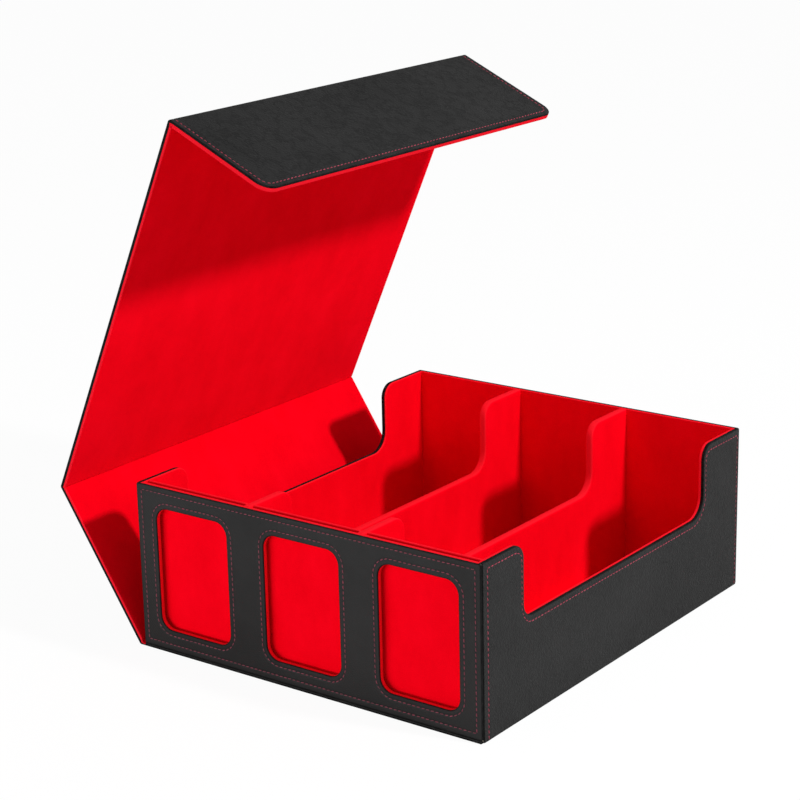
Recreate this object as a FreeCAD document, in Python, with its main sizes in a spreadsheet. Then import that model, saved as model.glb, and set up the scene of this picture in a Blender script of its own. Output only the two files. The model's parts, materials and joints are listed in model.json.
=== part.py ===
import FreeCAD, Part
import Sketcher
import math
import os

# Storage box for trading cards: a three-compartment tray with a windowed front, and a wrap cover of three
# hinged panels (spine, lid, flap) that folds over it from the left.
#
# Axes: X to the right along the windowed front, Y to the back, Z up. The origin is the centre of the tray's
# underside. All lengths are millimetres and all angles degrees.
#
# Every wall and panel is a sandwich: leather on the outside, board in the middle, and a red lining that
# covers the inner face and turns over the board's free edges.

SIZES = {
    # tray
    "tray_width": 265.0,
    "tray_depth": 306.0,
    "tray_height": 112.0,
    "compartment_count": 3,
    "hem_height": 0.4,
    # layers
    "leather": 0.8,
    "lining": 0.6,
    "base_board": 1.5,
    "wall_board": 2.6,
    "front_board": 2.2,
    "pocket_board": 1.0,
    "divider_board": 4.8,
    "panel_board": 2.6,
    "leather_bevel": 0.4,
    # card pocket behind the windows
    "pocket_gap": 3.0,
    # windows
    "window_width": 58.0,
    "window_height": 82.0,
    "window_sill": 16.0,
    "window_radius": 9.0,
    # scooped cut-out of the side walls and dividers
    "scoop_front_post": 44.5,
    "scoop_back_post": 48.0,
    "scoop_sill": 64.0,
    "scoop_lip_radius": 10.0,
    "scoop_front_root_radius": 9.0,
    "scoop_back_root_radius": 14.0,
    # cover
    "side_clearance": 1.6,
    "top_clearance": 1.2,
    "fold_gap": 0.3,
    "flap_below_magnets": 16.5,
    "flap_corner_radius": 10.0,
    # pose of the open cover
    "spine_lean_angle": 33.6,
    "lid_turn_angle": 57.6,
    "flap_turn_angle": 90.9,
    # closure
    "magnet_diameter": 12.0,
    "magnet_thickness": 1.5,
    "magnet_spacing": 170.0,
    "plate_below_sill": 12.8,
    "plate_diameter": 16.0,
    "plate_thickness": 1.0,
}

# Thickness of each sandwich
WALL = "(Sizes.leather + Sizes.wall_board + Sizes.lining)"
FRONT = "(Sizes.leather + Sizes.front_board + Sizes.lining)"
BASE = "(Sizes.leather + Sizes.base_board)"
POCKET_PANEL = "(Sizes.pocket_board + 2 * Sizes.lining)"
DIVIDER = "(Sizes.divider_board + 2 * Sizes.lining)"
PANEL = "(Sizes.leather + Sizes.panel_board + Sizes.lining)"

# Planes of the tray
LEFT = "(-Sizes.tray_width / 2)"
RIGHT = "(Sizes.tray_width / 2)"
FACE = "(-Sizes.tray_depth / 2)"
REAR = "(Sizes.tray_depth / 2)"
TOP = "Sizes.tray_height"
BOARD_TOP = f"({TOP} - Sizes.lining)"
INNER_REAR = f"({REAR} - {WALL})"
POCKET_BACK = f"({FACE} + {FRONT} + Sizes.pocket_gap)"
COMPARTMENT_FRONT = f"({POCKET_BACK} + {POCKET_PANEL})"
DIVIDERS = "(Sizes.compartment_count - 1)"
COMPARTMENT = f"((Sizes.tray_width - 2 * {WALL} - {DIVIDERS} * {DIVIDER}) / Sizes.compartment_count)"
PITCH = f"({COMPARTMENT} + {DIVIDER})"

# Cover: each panel runs from fold axis to fold axis, and its stiff part stops short of both axes
FOLD_RADIUS = f"({PANEL} / 2)"
PANEL_START = f"({FOLD_RADIUS} + Sizes.fold_gap)"
SPINE_REACH = "(Sizes.tray_height + Sizes.top_clearance)"
LID_REACH = f"(Sizes.tray_width + 2 * Sizes.side_clearance + {PANEL})"
BASE_ANGLE = "180"
SPINE_ANGLE = "(90 + Sizes.spine_lean_angle)"
LID_ANGLE = f"({SPINE_ANGLE} - Sizes.lid_turn_angle)"
FLAP_ANGLE = f"({LID_ANGLE} - Sizes.flap_turn_angle)"
BASE_TURN = f"({BASE_ANGLE} - {SPINE_ANGLE})"
SPINE_X = f"({LEFT} - Sizes.side_clearance - {FOLD_RADIUS})"
SPINE_Z = FOLD_RADIUS
LID_X = f"({SPINE_X} + {SPINE_REACH} * cos({SPINE_ANGLE}))"
LID_Z = f"({SPINE_Z} + {SPINE_REACH} * sin({SPINE_ANGLE}))"
FLAP_X = f"({LID_X} + {LID_REACH} * cos({LID_ANGLE}))"
FLAP_Z = f"({LID_Z} + {LID_REACH} * sin({LID_ANGLE}))"

# The steel plates lie in the right wall below the scoop. When the cover is shut the flap's magnets come to
# the same height, and the flap ends below them.
PLATE_HEIGHT = "(Sizes.scoop_sill - Sizes.plate_below_sill)"
MAGNET_REACH = f"({SPINE_Z} + {SPINE_REACH} - {PLATE_HEIGHT})"
FLAP_REACH = f"({MAGNET_REACH} + Sizes.flap_below_magnets)"

TOLERANCE = 1e-5

doc = FreeCAD.newDocument("CardBox")


def fill_sheet():
    """Write every driving size into the spreadsheet, one row each, under its own alias."""
    sheet = doc.addObject("Spreadsheet::Sheet", "Sizes")
    for row, (alias, value) in enumerate(SIZES.items(), start=1):
        sheet.set(f"A{row}", alias)
        sheet.set(f"B{row}", str(value))
        sheet.setAlias(f"B{row}", alias)
    doc.recompute()
    return sheet


sheet = fill_sheet()


def value_of(expression):
    """The number that an expression stands for now."""
    return float(sheet.evalExpression(expression))


# ---------------------------------------------------------------- drawing tools


def pose(x="0", y="0", z="0", angle="0"):
    """Expression for a placement at x, y, z, with the local X axis tilted up by an angle in the XZ plane."""
    base = f"create(<<vector>>; {x}; {y}; {z})"
    tilt = f"create(<<rotation>>; create(<<vector>>; 0; 1; 0); -({angle}))"
    return f"create(<<placement>>; {base}; {tilt})"


def new_body(label, placement):
    """A body with its own label, placed by an expression."""
    body = doc.addObject("PartDesign::Body", label)
    body.Label = label
    body.setExpression("Placement", placement)
    return body


def new_sketch(body, role, offset="0"):
    """A sketch on one of the body's own origin planes, moved along that plane's normal."""
    sketch = body.newObject("Sketcher::SketchObject", body.Name + "_sketch")
    plane = next(item for item in body.Origin.OriginFeatures if item.Role == role)
    sketch.AttachmentSupport = [(plane, "")]
    sketch.MapMode = "FlatFace"
    sketch.setExpression("AttachmentOffset.Base.z", offset)
    return sketch


def constrain(sketch, kind, elements, name, expression):
    """Add a dimension between sketch elements and bind it to an expression."""
    index = sketch.addConstraint(Sketcher.Constraint(kind, *elements, value_of(expression)))
    sketch.renameConstraint(index, name)
    sketch.setExpression("Constraints." + name, expression)


def constrain_sides(sketch, bottom_line, right_line, top_line, left_line, sides):
    """Square up the four straight sides of a rectangle and place each at its expression."""
    left, right, bottom, top = sides
    for line in (bottom_line, top_line):
        sketch.addConstraint(Sketcher.Constraint("Horizontal", line))
    for line in (right_line, left_line):
        sketch.addConstraint(Sketcher.Constraint("Vertical", line))
    constrain(sketch, "DistanceX", (-1, 1, left_line, 1), "left", left)
    constrain(sketch, "DistanceX", (-1, 1, right_line, 1), "right", right)
    constrain(sketch, "DistanceY", (-1, 1, bottom_line, 1), "bottom", bottom)
    constrain(sketch, "DistanceY", (-1, 1, top_line, 1), "top", top)


def draw_rectangle(sketch, left, right, bottom, top):
    """A rectangle whose four sides lie at expressions in the sketch's own axes."""
    x0, x1, y0, y1 = [value_of(side) for side in (left, right, bottom, top)]
    corners = [FreeCAD.Vector(x, y, 0) for x, y in ((x0, y0), (x1, y0), (x1, y1), (x0, y1))]
    for start, end in zip(corners, corners[1:] + corners[:1]):
        sketch.addGeometry(Part.LineSegment(start, end))
    for line in range(4):
        sketch.addConstraint(Sketcher.Constraint("Coincident", line, 2, (line + 1) % 4, 1))
    constrain_sides(sketch, 0, 1, 2, 3, (left, right, bottom, top))


def draw_rounded_rectangle(sketch, left, right, bottom, top, radius):
    """The same with four equal corner arcs; lines are the even elements and arcs the odd ones."""
    x0, x1, y0, y1, r = [value_of(size) for size in (left, right, bottom, top, radius)]
    normal = FreeCAD.Vector(0, 0, 1)
    centres = ((x1 - r, y0 + r), (x1 - r, y1 - r), (x0 + r, y1 - r), (x0 + r, y0 + r))
    arc_starts = (-90, 0, 90, 180)
    start = FreeCAD.Vector(x0 + r, y0, 0)
    for (x, y), degrees in zip(centres, arc_starts):
        begin = math.radians(degrees)
        circle = Part.Circle(FreeCAD.Vector(x, y, 0), normal, r)
        arc = Part.ArcOfCircle(circle, begin, begin + math.pi / 2)
        sketch.addGeometry(Part.LineSegment(start, arc.StartPoint))
        sketch.addGeometry(arc)
        start = arc.EndPoint
    for element in range(8):
        sketch.addConstraint(Sketcher.Constraint("Tangent", element, 2, (element + 1) % 8, 1))
    for arc in (3, 5, 7):
        sketch.addConstraint(Sketcher.Constraint("Equal", 1, arc))
    constrain_sides(sketch, 0, 2, 4, 6, (left, right, bottom, top))
    constrain(sketch, "Radius", (1,), "radius", radius)


def draw_fold(sketch, radius, thickness, tab, turn):
    """A strip bent round the fold's axis.

    It comes in along a straight tab on the near panel's outer side and follows an arc about the axis
    as far as the far panel's direction.
    """
    outer, depth, length = [value_of(size) for size in (radius, thickness, tab)]
    inner = outer - depth
    axis = FreeCAD.Vector(0, 0, 0)
    normal = FreeCAD.Vector(0, 0, 1)
    begin = math.radians(-value_of(turn))
    outer_arc = Part.ArcOfCircle(Part.Circle(axis, normal, outer), begin, math.pi / 2)
    inner_arc = Part.ArcOfCircle(Part.Circle(axis, normal, inner), begin, math.pi / 2)
    tab_top = FreeCAD.Vector(-length, outer, 0)
    tab_bottom = FreeCAD.Vector(-length, inner, 0)
    sketch.addGeometry(Part.LineSegment(tab_top, outer_arc.EndPoint))
    sketch.addGeometry(outer_arc)
    sketch.addGeometry(Part.LineSegment(outer_arc.StartPoint, inner_arc.StartPoint))
    sketch.addGeometry(inner_arc)
    sketch.addGeometry(Part.LineSegment(inner_arc.EndPoint, tab_bottom))
    sketch.addGeometry(Part.LineSegment(tab_bottom, tab_top))
    joined_ends = ((0, 2, 1, 2), (1, 1, 2, 1), (2, 2, 3, 1), (3, 2, 4, 1), (4, 2, 5, 1), (5, 2, 0, 1))
    for ends in joined_ends:
        sketch.addConstraint(Sketcher.Constraint("Coincident", *ends))
    for arc in (1, 3):
        sketch.addConstraint(Sketcher.Constraint("Coincident", arc, 3, -1, 1))
        sketch.addConstraint(Sketcher.Constraint("PointOnObject", arc, 2, -2))
    for line in (0, 4):
        sketch.addConstraint(Sketcher.Constraint("Horizontal", line))
    sketch.addConstraint(Sketcher.Constraint("Vertical", 5))
    sketch.addConstraint(Sketcher.Constraint("PointOnObject", -1, 1, 2))
    constrain(sketch, "Radius", (1,), "outer_radius", radius)
    constrain(sketch, "Radius", (3,), "inner_radius", f"({radius} - {thickness})")
    constrain(sketch, "DistanceX", (0, 1, 0, 2), "tab", tab)
    constrain(sketch, "DistanceX", (-1, 1, 1, 1), "arc_end", f"({radius} * cos({turn}))")


def add_pad(body, sketch, length, symmetric=False):
    """Extrude a sketch, to one side or half to each side of its plane."""
    pad = body.newObject("PartDesign::Pad", body.Name + "_pad")
    pad.Profile = sketch
    if symmetric:
        pad.SideType = "Symmetric"
    pad.setExpression("Length", length)
    body.Tip = pad
    doc.recompute()
    return pad


def cut_through(body, sketch):
    """Cut a sketch right through the body, to both sides of its plane, and make sure that it cuts."""
    before = body.Shape.Volume
    pocket = body.newObject("PartDesign::Pocket", body.Name + "_pocket")
    pocket.Profile = sketch
    pocket.SideType = "Symmetric"
    pocket.Type = "ThroughAll"
    body.Tip = pocket
    doc.recompute()
    if body.Shape.Volume > before - TOLERANCE:
        raise RuntimeError(f"{pocket.Label} cuts nothing")
    return pocket


def lies_at(box, axis, place):
    """True if a bounding box is flat along an axis, at a place."""
    low = getattr(box, axis + "Min")
    high = getattr(box, axis + "Max")
    return abs(low - place) < TOLERANCE and abs(high - place) < TOLERANCE


def dress_edges(body, kind, is_chosen, property_name, size):
    """Work each edge of the body whose bounding box, in the body's own frame, passes a test."""
    last = body.Tip
    edges = enumerate(last.Shape.Edges, start=1)
    names = [f"Edge{number}" for number, edge in edges if is_chosen(edge.BoundBox)]
    feature = body.newObject("PartDesign::" + kind, f"{body.Name}_{kind.lower()}")
    feature.Base = (last, names)
    feature.setExpression(property_name, size)
    body.Tip = feature
    doc.recompute()


def round_edges(body, is_chosen, radius):
    """Fillet the chosen edges."""
    dress_edges(body, "Fillet", is_chosen, "Radius", radius)


def bevel_edges(body, is_chosen):
    """Break the chosen edges of the leather, where it turns over the board's edge."""
    dress_edges(body, "Chamfer", is_chosen, "Size", "Sizes.leather_bevel")


def bevel_face(body, axis, place):
    """Break every edge round the leather's flat outer face."""
    there = value_of(place)
    bevel_edges(body, lambda box: lies_at(box, axis, there))


# ---------------------------------------------------------------- stock pieces


def block(label, left, right, front, back, bottom, top):
    """A plain rectangular piece between six planes."""
    box = doc.addObject("Part::Box", label)
    box.Label = label
    box.setExpression("Length", f"{right} - {left}")
    box.setExpression("Width", f"{back} - {front}")
    box.setExpression("Height", f"{top} - {bottom}")
    box.setExpression("Placement", pose(left, front, bottom))
    return box


def cut(label, base, tool):
    """The base piece less the tool piece."""
    rest = doc.addObject("Part::Cut", label)
    rest.Label = label
    rest.Base = base
    rest.Tool = tool
    return rest


def disc(label, diameter, thickness, placement):
    """A flat disc that stands on its placement's XY plane."""
    cylinder = doc.addObject("Part::Cylinder", label)
    cylinder.Label = label
    cylinder.setExpression("Radius", f"{diameter} / 2")
    cylinder.setExpression("Height", thickness)
    cylinder.setExpression("Placement", placement)
    return cylinder


def core_label(name, discs):
    """A board that takes discs is drawn as a blank first."""
    return f"{name}_board_blank" if discs else f"{name}_board"


def seat_discs(name, board, discs):
    """The board with a flush seat for each disc."""
    for number, insert in enumerate(discs, start=1):
        label = f"{name}_board" if number == len(discs) else f"{name}_board_seat_{number}"
        board = cut(label, board, insert)
    return board


# ---------------------------------------------------------------- base


def make_base():
    """The board under the tray, and the leather under it with its turned-up front lip."""
    behind_lip = f"({FACE} + Sizes.leather)"
    inside_right = f"({RIGHT} - Sizes.leather)"
    inside_rear = f"({REAR} - Sizes.leather)"
    inside_left = f"({LEFT} + Sizes.leather)"
    board = block("base_board", inside_left, inside_right, behind_lip, inside_rear, "Sizes.leather", BASE)
    leather = new_body("base_leather", pose())
    underside = new_sketch(leather, "XY_Plane")
    draw_rectangle(underside, LEFT, inside_right, FACE, inside_rear)
    add_pad(leather, underside, "Sizes.leather")
    lip = new_sketch(leather, "XY_Plane")
    draw_rectangle(lip, LEFT, RIGHT, FACE, behind_lip)
    add_pad(leather, lip, BASE)
    return [board, leather]


# ---------------------------------------------------------------- windowed front and its card pockets


def front_sheet(label, near, thickness, left, right, top):
    """An upright sheet across the tray that stands on the base, from its near face backward."""
    body = new_body(label, pose())
    outline = new_sketch(body, "XZ_Plane", f"-({near} + {thickness})")
    draw_rectangle(outline, left, right, BASE, top)
    add_pad(body, outline, thickness)
    return body


def cut_windows(body, inset):
    """Cut one rounded window in front of each compartment, drawn out by an inset all round."""
    middle = f"({LEFT} + {WALL} + {COMPARTMENT} / 2)"
    half = f"(Sizes.window_width / 2 + {inset})"
    left = f"({middle} - {half})"
    right = f"({middle} + {half})"
    sill = f"(Sizes.window_sill - {inset})"
    head = f"(Sizes.window_sill + Sizes.window_height + {inset})"
    window = new_sketch(body, "XZ_Plane")
    draw_rounded_rectangle(window, left, right, sill, head, f"(Sizes.window_radius + {inset})")
    opening = cut_through(body, window)
    row = body.newObject("PartDesign::LinearPattern", body.Name + "_windows")
    row.Originals = [opening]
    row.Direction = (window, ["H_Axis"])
    row.setExpression("Length", f"{DIVIDERS} * {PITCH}")
    row.setExpression("Occurrences", "Sizes.compartment_count")
    body.Tip = row
    doc.recompute()


def make_front():
    """The window frame: leather across the whole width, board and lining nested behind it."""
    left = f"({LEFT} + Sizes.leather)"
    right = f"({RIGHT} - Sizes.leather)"
    behind_leather = f"({FACE} + Sizes.leather)"
    leather = front_sheet("front_leather", FACE, "Sizes.leather", LEFT, RIGHT, TOP)
    cut_windows(leather, "0")
    bevel_face(leather, "Y", FACE)
    board = front_sheet("front_board", behind_leather, "Sizes.front_board", left, right, BOARD_TOP)
    cut_windows(board, "Sizes.lining")
    both_layers = "(Sizes.front_board + Sizes.lining)"
    blank = front_sheet("front_lining_blank", behind_leather, both_layers, left, right, TOP)
    cut_windows(blank, "0")
    return [leather, board, cut("front_lining", blank, board)]


def make_pocket(number):
    """The lined panel behind one window; the slot in front of it takes a card in its sleeve."""
    left = f"({LEFT} + {WALL} + {number - 1} * {PITCH})"
    right = f"({left} + {COMPARTMENT})"
    board_front = f"({POCKET_BACK} + Sizes.lining)"
    board_back = f"({board_front} + Sizes.pocket_board)"
    floor_top = f"({BASE} + Sizes.lining)"
    board = block(f"pocket_board_{number}", left, right, board_front, board_back, BASE, BOARD_TOP)
    blank = block(f"pocket_lining_blank_{number}", left, right, POCKET_BACK, COMPARTMENT_FRONT, BASE, TOP)
    floor = block(f"floor_lining_{number}", left, right, COMPARTMENT_FRONT, INNER_REAR, BASE, floor_top)
    return [board, cut(f"pocket_lining_{number}", blank, board), floor]


# ---------------------------------------------------------------- back, side walls and dividers


def make_back():
    """The back wall: leather over the full width, board and lining between the side leathers."""
    left = f"({LEFT} + Sizes.leather)"
    right = f"({RIGHT} - Sizes.leather)"
    leather_front = f"({REAR} - Sizes.leather)"
    leather = new_body("back_leather", pose())
    outline = new_sketch(leather, "XZ_Plane", f"-{REAR}")
    draw_rectangle(outline, LEFT, RIGHT, "Sizes.hem_height", TOP)
    add_pad(leather, outline, "Sizes.leather")
    bevel_face(leather, "Y", REAR)
    board_front = f"({INNER_REAR} + Sizes.lining)"
    board = block("back_board", left, right, board_front, leather_front, BASE, BOARD_TOP)
    blank = block("back_lining_blank", left, right, INNER_REAR, leather_front, BASE, TOP)
    return [leather, board, cut("back_lining", blank, board)]


def scooped_sheet(label, x, thickness, front, back, bottom, inset):
    """An upright sheet along the tray with the finger scoop in its upper edge.

    The inset draws the upper outline in, for a board that its lining wraps.
    """
    top = f"({TOP} - {inset})"
    scoop_front = f"({FACE} + Sizes.scoop_front_post - {inset})"
    scoop_back = f"({REAR} - Sizes.scoop_back_post + {inset})"
    scoop_sill = f"(Sizes.scoop_sill - {inset})"
    body = new_body(label, pose(x))
    outline = new_sketch(body, "YZ_Plane")
    draw_rectangle(outline, front, back, bottom, top)
    add_pad(body, outline, thickness)
    scoop = new_sketch(body, "YZ_Plane")
    draw_rectangle(scoop, scoop_front, scoop_back, scoop_sill, f"({top} + Sizes.scoop_lip_radius)")
    cut_through(body, scoop)
    front_post, back_post = value_of(scoop_front), value_of(scoop_back)
    sill_height, top_height = value_of(scoop_sill), value_of(top)

    def is_corner(box, height, posts):
        return lies_at(box, "Z", height) and any(lies_at(box, "Y", post) for post in posts)

    def is_front_root(box):
        return is_corner(box, sill_height, [front_post])

    def is_back_root(box):
        return is_corner(box, sill_height, [back_post])

    def is_lip(box):
        return is_corner(box, top_height, [front_post, back_post])

    round_edges(body, is_front_root, f"(Sizes.scoop_front_root_radius + {inset})")
    round_edges(body, is_back_root, f"(Sizes.scoop_back_root_radius + {inset})")
    round_edges(body, is_lip, f"(Sizes.scoop_lip_radius - {inset})")
    return body


def make_side(name, leather_x, outer_face, board_x, blank_x, hem, discs):
    """One scooped side wall: leather, board and the lining that wraps the board's upper edge."""
    front = f"({FACE} + {FRONT})"
    near = f"({FACE} + Sizes.leather)"
    far = f"({REAR} - Sizes.leather)"
    leather = scooped_sheet(name + "_leather", leather_x, "Sizes.leather", near, far, hem, "0")
    bevel_face(leather, "X", outer_face)
    core = core_label(name, discs)
    board = scooped_sheet(core, board_x, "Sizes.wall_board", front, INNER_REAR, BASE, "Sizes.lining")
    both_layers = "(Sizes.wall_board + Sizes.lining)"
    blank = scooped_sheet(name + "_lining_blank", blank_x, both_layers, front, INNER_REAR, BASE, "0")
    lining = cut(name + "_lining", blank, board)
    return [leather, seat_discs(name, board, discs), lining]


def make_left_side():
    """The left wall stands on the base leather, inside the cover's spine."""
    board_x = f"({LEFT} + Sizes.leather)"
    return make_side("left", LEFT, "0", board_x, board_x, "Sizes.leather", [])


def make_right_side():
    """The right wall comes down past the base, and carries the steel plates that hold the flap."""
    leather_x = f"({RIGHT} - Sizes.leather)"
    board_x = f"({leather_x} - Sizes.wall_board)"
    blank_x = f"({board_x} - Sizes.lining)"
    plate_x = f"({leather_x} - Sizes.plate_thickness)"
    plates = []
    for number, sign in ((1, "-"), (2, "+")):
        place = pose(plate_x, f"({sign}Sizes.magnet_spacing / 2)", PLATE_HEIGHT, "-90")
        plates.append(disc(f"steel_plate_{number}", "Sizes.plate_diameter", "Sizes.plate_thickness", place))
    side = make_side("right", leather_x, "Sizes.leather", board_x, blank_x, "Sizes.hem_height", plates)
    return side + plates


def make_divider(number):
    """One divider with the side walls' outline: a board with lining on both faces and over the top."""
    front = f"({FACE} + {FRONT})"
    blank_x = f"({LEFT} + {WALL} + {COMPARTMENT} + {number - 1} * {PITCH})"
    board_x = f"({blank_x} + Sizes.lining)"
    core = f"divider_board_{number}"
    board = scooped_sheet(core, board_x, "Sizes.divider_board", front, INNER_REAR, BASE, "Sizes.lining")
    blank = scooped_sheet(f"divider_lining_blank_{number}", blank_x, DIVIDER, front, INNER_REAR, BASE, "0")
    return [board, cut(f"divider_lining_{number}", blank, board)]


# ---------------------------------------------------------------- cover


# Each panel is drawn in its own frame: the origin on the fold axis that it starts from, X toward the next
# fold, Y along the tray, Z toward the leather. The panel's middle plane passes through its fold axes.
BASE_POSE = pose(SPINE_X, "0", SPINE_Z, BASE_ANGLE)
SPINE_POSE = pose(SPINE_X, "0", SPINE_Z, SPINE_ANGLE)
LID_POSE = pose(LID_X, "0", LID_Z, LID_ANGLE)
FLAP_POSE = pose(FLAP_X, "0", FLAP_Z, FLAP_ANGLE)
LEATHER_LOW = f"({FOLD_RADIUS} - Sizes.leather)"
BOARD_LOW = f"(Sizes.lining - {FOLD_RADIUS})"
LINING_LOW = f"(-{FOLD_RADIUS})"


def panel_sheet(label, placement, low, thickness, end, inset, has_tip):
    """One layer of a cover panel, drawn in from the free edges by an inset."""
    half = f"({REAR} - {inset})"
    far = f"({end} - {inset})" if has_tip else end
    body = new_body(label, placement)
    outline = new_sketch(body, "XY_Plane", low)
    draw_rectangle(outline, PANEL_START, far, f"-{half}", half)
    add_pad(body, outline, thickness)
    if has_tip:
        tip = value_of(far)
        sides = (-value_of(half), value_of(half))
        round_edges(
            body,
            lambda box: lies_at(box, "X", tip) and any(lies_at(box, "Y", side) for side in sides),
            f"(Sizes.flap_corner_radius - {inset})",
        )
    return body


def make_panel(name, placement, end, has_tip, discs):
    """One stiff cover panel: leather, board, and the lining that wraps the board's free edges."""
    leather = panel_sheet(name + "_leather", placement, LEATHER_LOW, "Sizes.leather", end, "0", has_tip)
    outside = value_of(FOLD_RADIUS)
    folds = [value_of(PANEL_START)] if has_tip else [value_of(PANEL_START), value_of(end)]
    bevel_edges(
        leather, lambda box: lies_at(box, "Z", outside) and not any(lies_at(box, "X", fold) for fold in folds)
    )
    core = core_label(name, discs)
    board = panel_sheet(core, placement, BOARD_LOW, "Sizes.panel_board", end, "Sizes.lining", has_tip)
    both_layers = "(Sizes.panel_board + Sizes.lining)"
    blank = panel_sheet(name + "_lining_blank", placement, LINING_LOW, both_layers, end, "0", has_tip)
    lining = cut(name + "_lining", blank, board)
    return [leather, seat_discs(name, board, discs), lining]


def make_fold(name, placement, tab, turn):
    """The flexible strip between two panels: leather outside, lining inside, both bent round the axis."""
    leather_radius = FOLD_RADIUS
    lining_radius = f"({FOLD_RADIUS} - Sizes.leather)"
    strips = []
    for layer, radius in (("leather", leather_radius), ("lining", lining_radius)):
        strip = new_body(f"{name}_{layer}", placement)
        profile = new_sketch(strip, "XZ_Plane")
        draw_fold(profile, radius, "Sizes." + layer, tab, turn)
        add_pad(strip, profile, "Sizes.tray_depth", symmetric=True)
        strips.append(strip)
    return strips


def make_spine():
    """The fold from the base and the spine panel, which leans out to the left when the box is open."""
    tab = f"({LEFT} - {SPINE_X})"
    fold = make_fold("base_fold", BASE_POSE, tab, BASE_TURN)
    panel = make_panel("spine", SPINE_POSE, f"({SPINE_REACH} - {PANEL_START})", False, [])
    return fold + panel


def make_lid():
    """The fold from the spine, at its far end, and the lid panel."""
    fold_pose = pose(LID_X, "0", LID_Z, SPINE_ANGLE)
    fold = make_fold("lid_fold", fold_pose, PANEL_START, "Sizes.lid_turn_angle")
    panel = make_panel("lid", LID_POSE, f"({LID_REACH} - {PANEL_START})", False, [])
    return fold + panel


def make_flap():
    """The fold from the lid, and the flap with its rounded corners and hidden magnets."""
    fold_pose = pose(FLAP_X, "0", FLAP_Z, LID_ANGLE)
    fold = make_fold("flap_fold", fold_pose, PANEL_START, "Sizes.flap_turn_angle")
    magnets = []
    for number, sign in ((1, "-"), (2, "+")):
        side = f"({sign}Sizes.magnet_spacing / 2)"
        place = f"{FLAP_POSE} * {pose(MAGNET_REACH, side, BOARD_LOW)}"
        magnets.append(disc(f"magnet_{number}", "Sizes.magnet_diameter", "Sizes.magnet_thickness", place))
    panel = make_panel("flap", FLAP_POSE, FLAP_REACH, True, magnets)
    return fold + panel + magnets


# ---------------------------------------------------------------- assembly and export


def make_nodes():
    """Every separate piece of the box."""
    nodes = make_base() + make_front()
    compartments = SIZES["compartment_count"]
    for number in range(1, compartments + 1):
        nodes += make_pocket(number)
    nodes += make_back() + make_left_side() + make_right_side()
    for number in range(1, compartments):
        nodes += make_divider(number)
    return nodes + make_spine() + make_lid() + make_flap()


def check_document(nodes):
    """Stop if an object failed, or if a piece is not one valid solid."""
    for item in doc.Objects:
        if "Invalid" in item.State or "Error" in item.State:
            raise RuntimeError(f"{item.Label} failed: {item.State}")
    for node in nodes:
        shape = node.Shape
        if shape.isNull() or not shape.isValid() or len(shape.Solids) != 1:
            raise RuntimeError(f"{node.Label} is not one valid solid")


def export_nodes(nodes):
    """Write each piece to its own STEP file."""
    os.makedirs("parts", exist_ok=True)
    for node in nodes:
        node.Shape.exportStep(f"parts/{node.Label}.step")


all_nodes = make_nodes()
doc.recompute()
check_document(all_nodes)
export_nodes(all_nodes)
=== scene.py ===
"""Looks of the three-compartment card box: leather, lining, stitching, light and camera.

Lengths are in millimetres until a mesh is made, and every mesh is in the frame's metres.
"""

import json
import math
from contextlib import contextmanager

import bmesh
import bpy
from mathutils import Matrix, Vector
from mathutils.geometry import delaunay_2d_cdt


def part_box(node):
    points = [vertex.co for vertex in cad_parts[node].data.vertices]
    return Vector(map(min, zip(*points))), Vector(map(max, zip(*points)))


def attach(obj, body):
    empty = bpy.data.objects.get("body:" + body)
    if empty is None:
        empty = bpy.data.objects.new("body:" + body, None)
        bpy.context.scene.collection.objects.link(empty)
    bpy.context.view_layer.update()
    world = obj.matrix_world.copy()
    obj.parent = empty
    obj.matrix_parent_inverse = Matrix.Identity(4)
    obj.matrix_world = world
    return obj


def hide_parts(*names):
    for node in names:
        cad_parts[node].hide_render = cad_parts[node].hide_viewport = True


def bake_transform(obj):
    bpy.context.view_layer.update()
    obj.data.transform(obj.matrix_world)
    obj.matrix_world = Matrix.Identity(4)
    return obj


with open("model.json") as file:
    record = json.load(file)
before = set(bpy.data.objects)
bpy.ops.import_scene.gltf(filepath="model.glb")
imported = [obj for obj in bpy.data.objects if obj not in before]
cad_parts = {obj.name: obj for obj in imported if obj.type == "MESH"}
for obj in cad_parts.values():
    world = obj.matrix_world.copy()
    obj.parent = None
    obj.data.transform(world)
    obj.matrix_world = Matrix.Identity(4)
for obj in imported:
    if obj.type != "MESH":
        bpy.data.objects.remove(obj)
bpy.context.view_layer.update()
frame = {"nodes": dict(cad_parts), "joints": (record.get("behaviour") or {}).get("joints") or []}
MM = 0.001


# ---- sizes read from the frame


def low(node):
    """Lowest corner of a node, in millimetres."""
    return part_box(node)[0] / MM


def high(node):
    """Highest corner of a node, in millimetres."""
    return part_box(node)[1] / MM


LEFT = low("front_leather").x
RIGHT = high("front_leather").x
FACE = low("front_leather").y
REAR = high("back_leather").y
TOP = high("front_leather").z
BASE_TOP = low("front_leather").z
LEATHER = high("front_leather").y - FACE
LINING = high("floor_lining_1").z - BASE_TOP
WALL_DEPTH = RIGHT - LEATHER - low("right_lining").x
FRONT_DEPTH = high("front_lining").y - FACE - LEATHER
INNER_FRONT = high("front_lining").y
INNER_REAR = low("back_lining").y
POCKET_DEPTH = high("pocket_lining_1").y - low("pocket_lining_1").y
DIVIDER_DEPTH = high("divider_lining_1").x - low("divider_lining_1").x
PANEL_DEPTH = 4.0
FOLD_RADIUS = PANEL_DEPTH / 2
PANEL_START = 2.3

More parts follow.
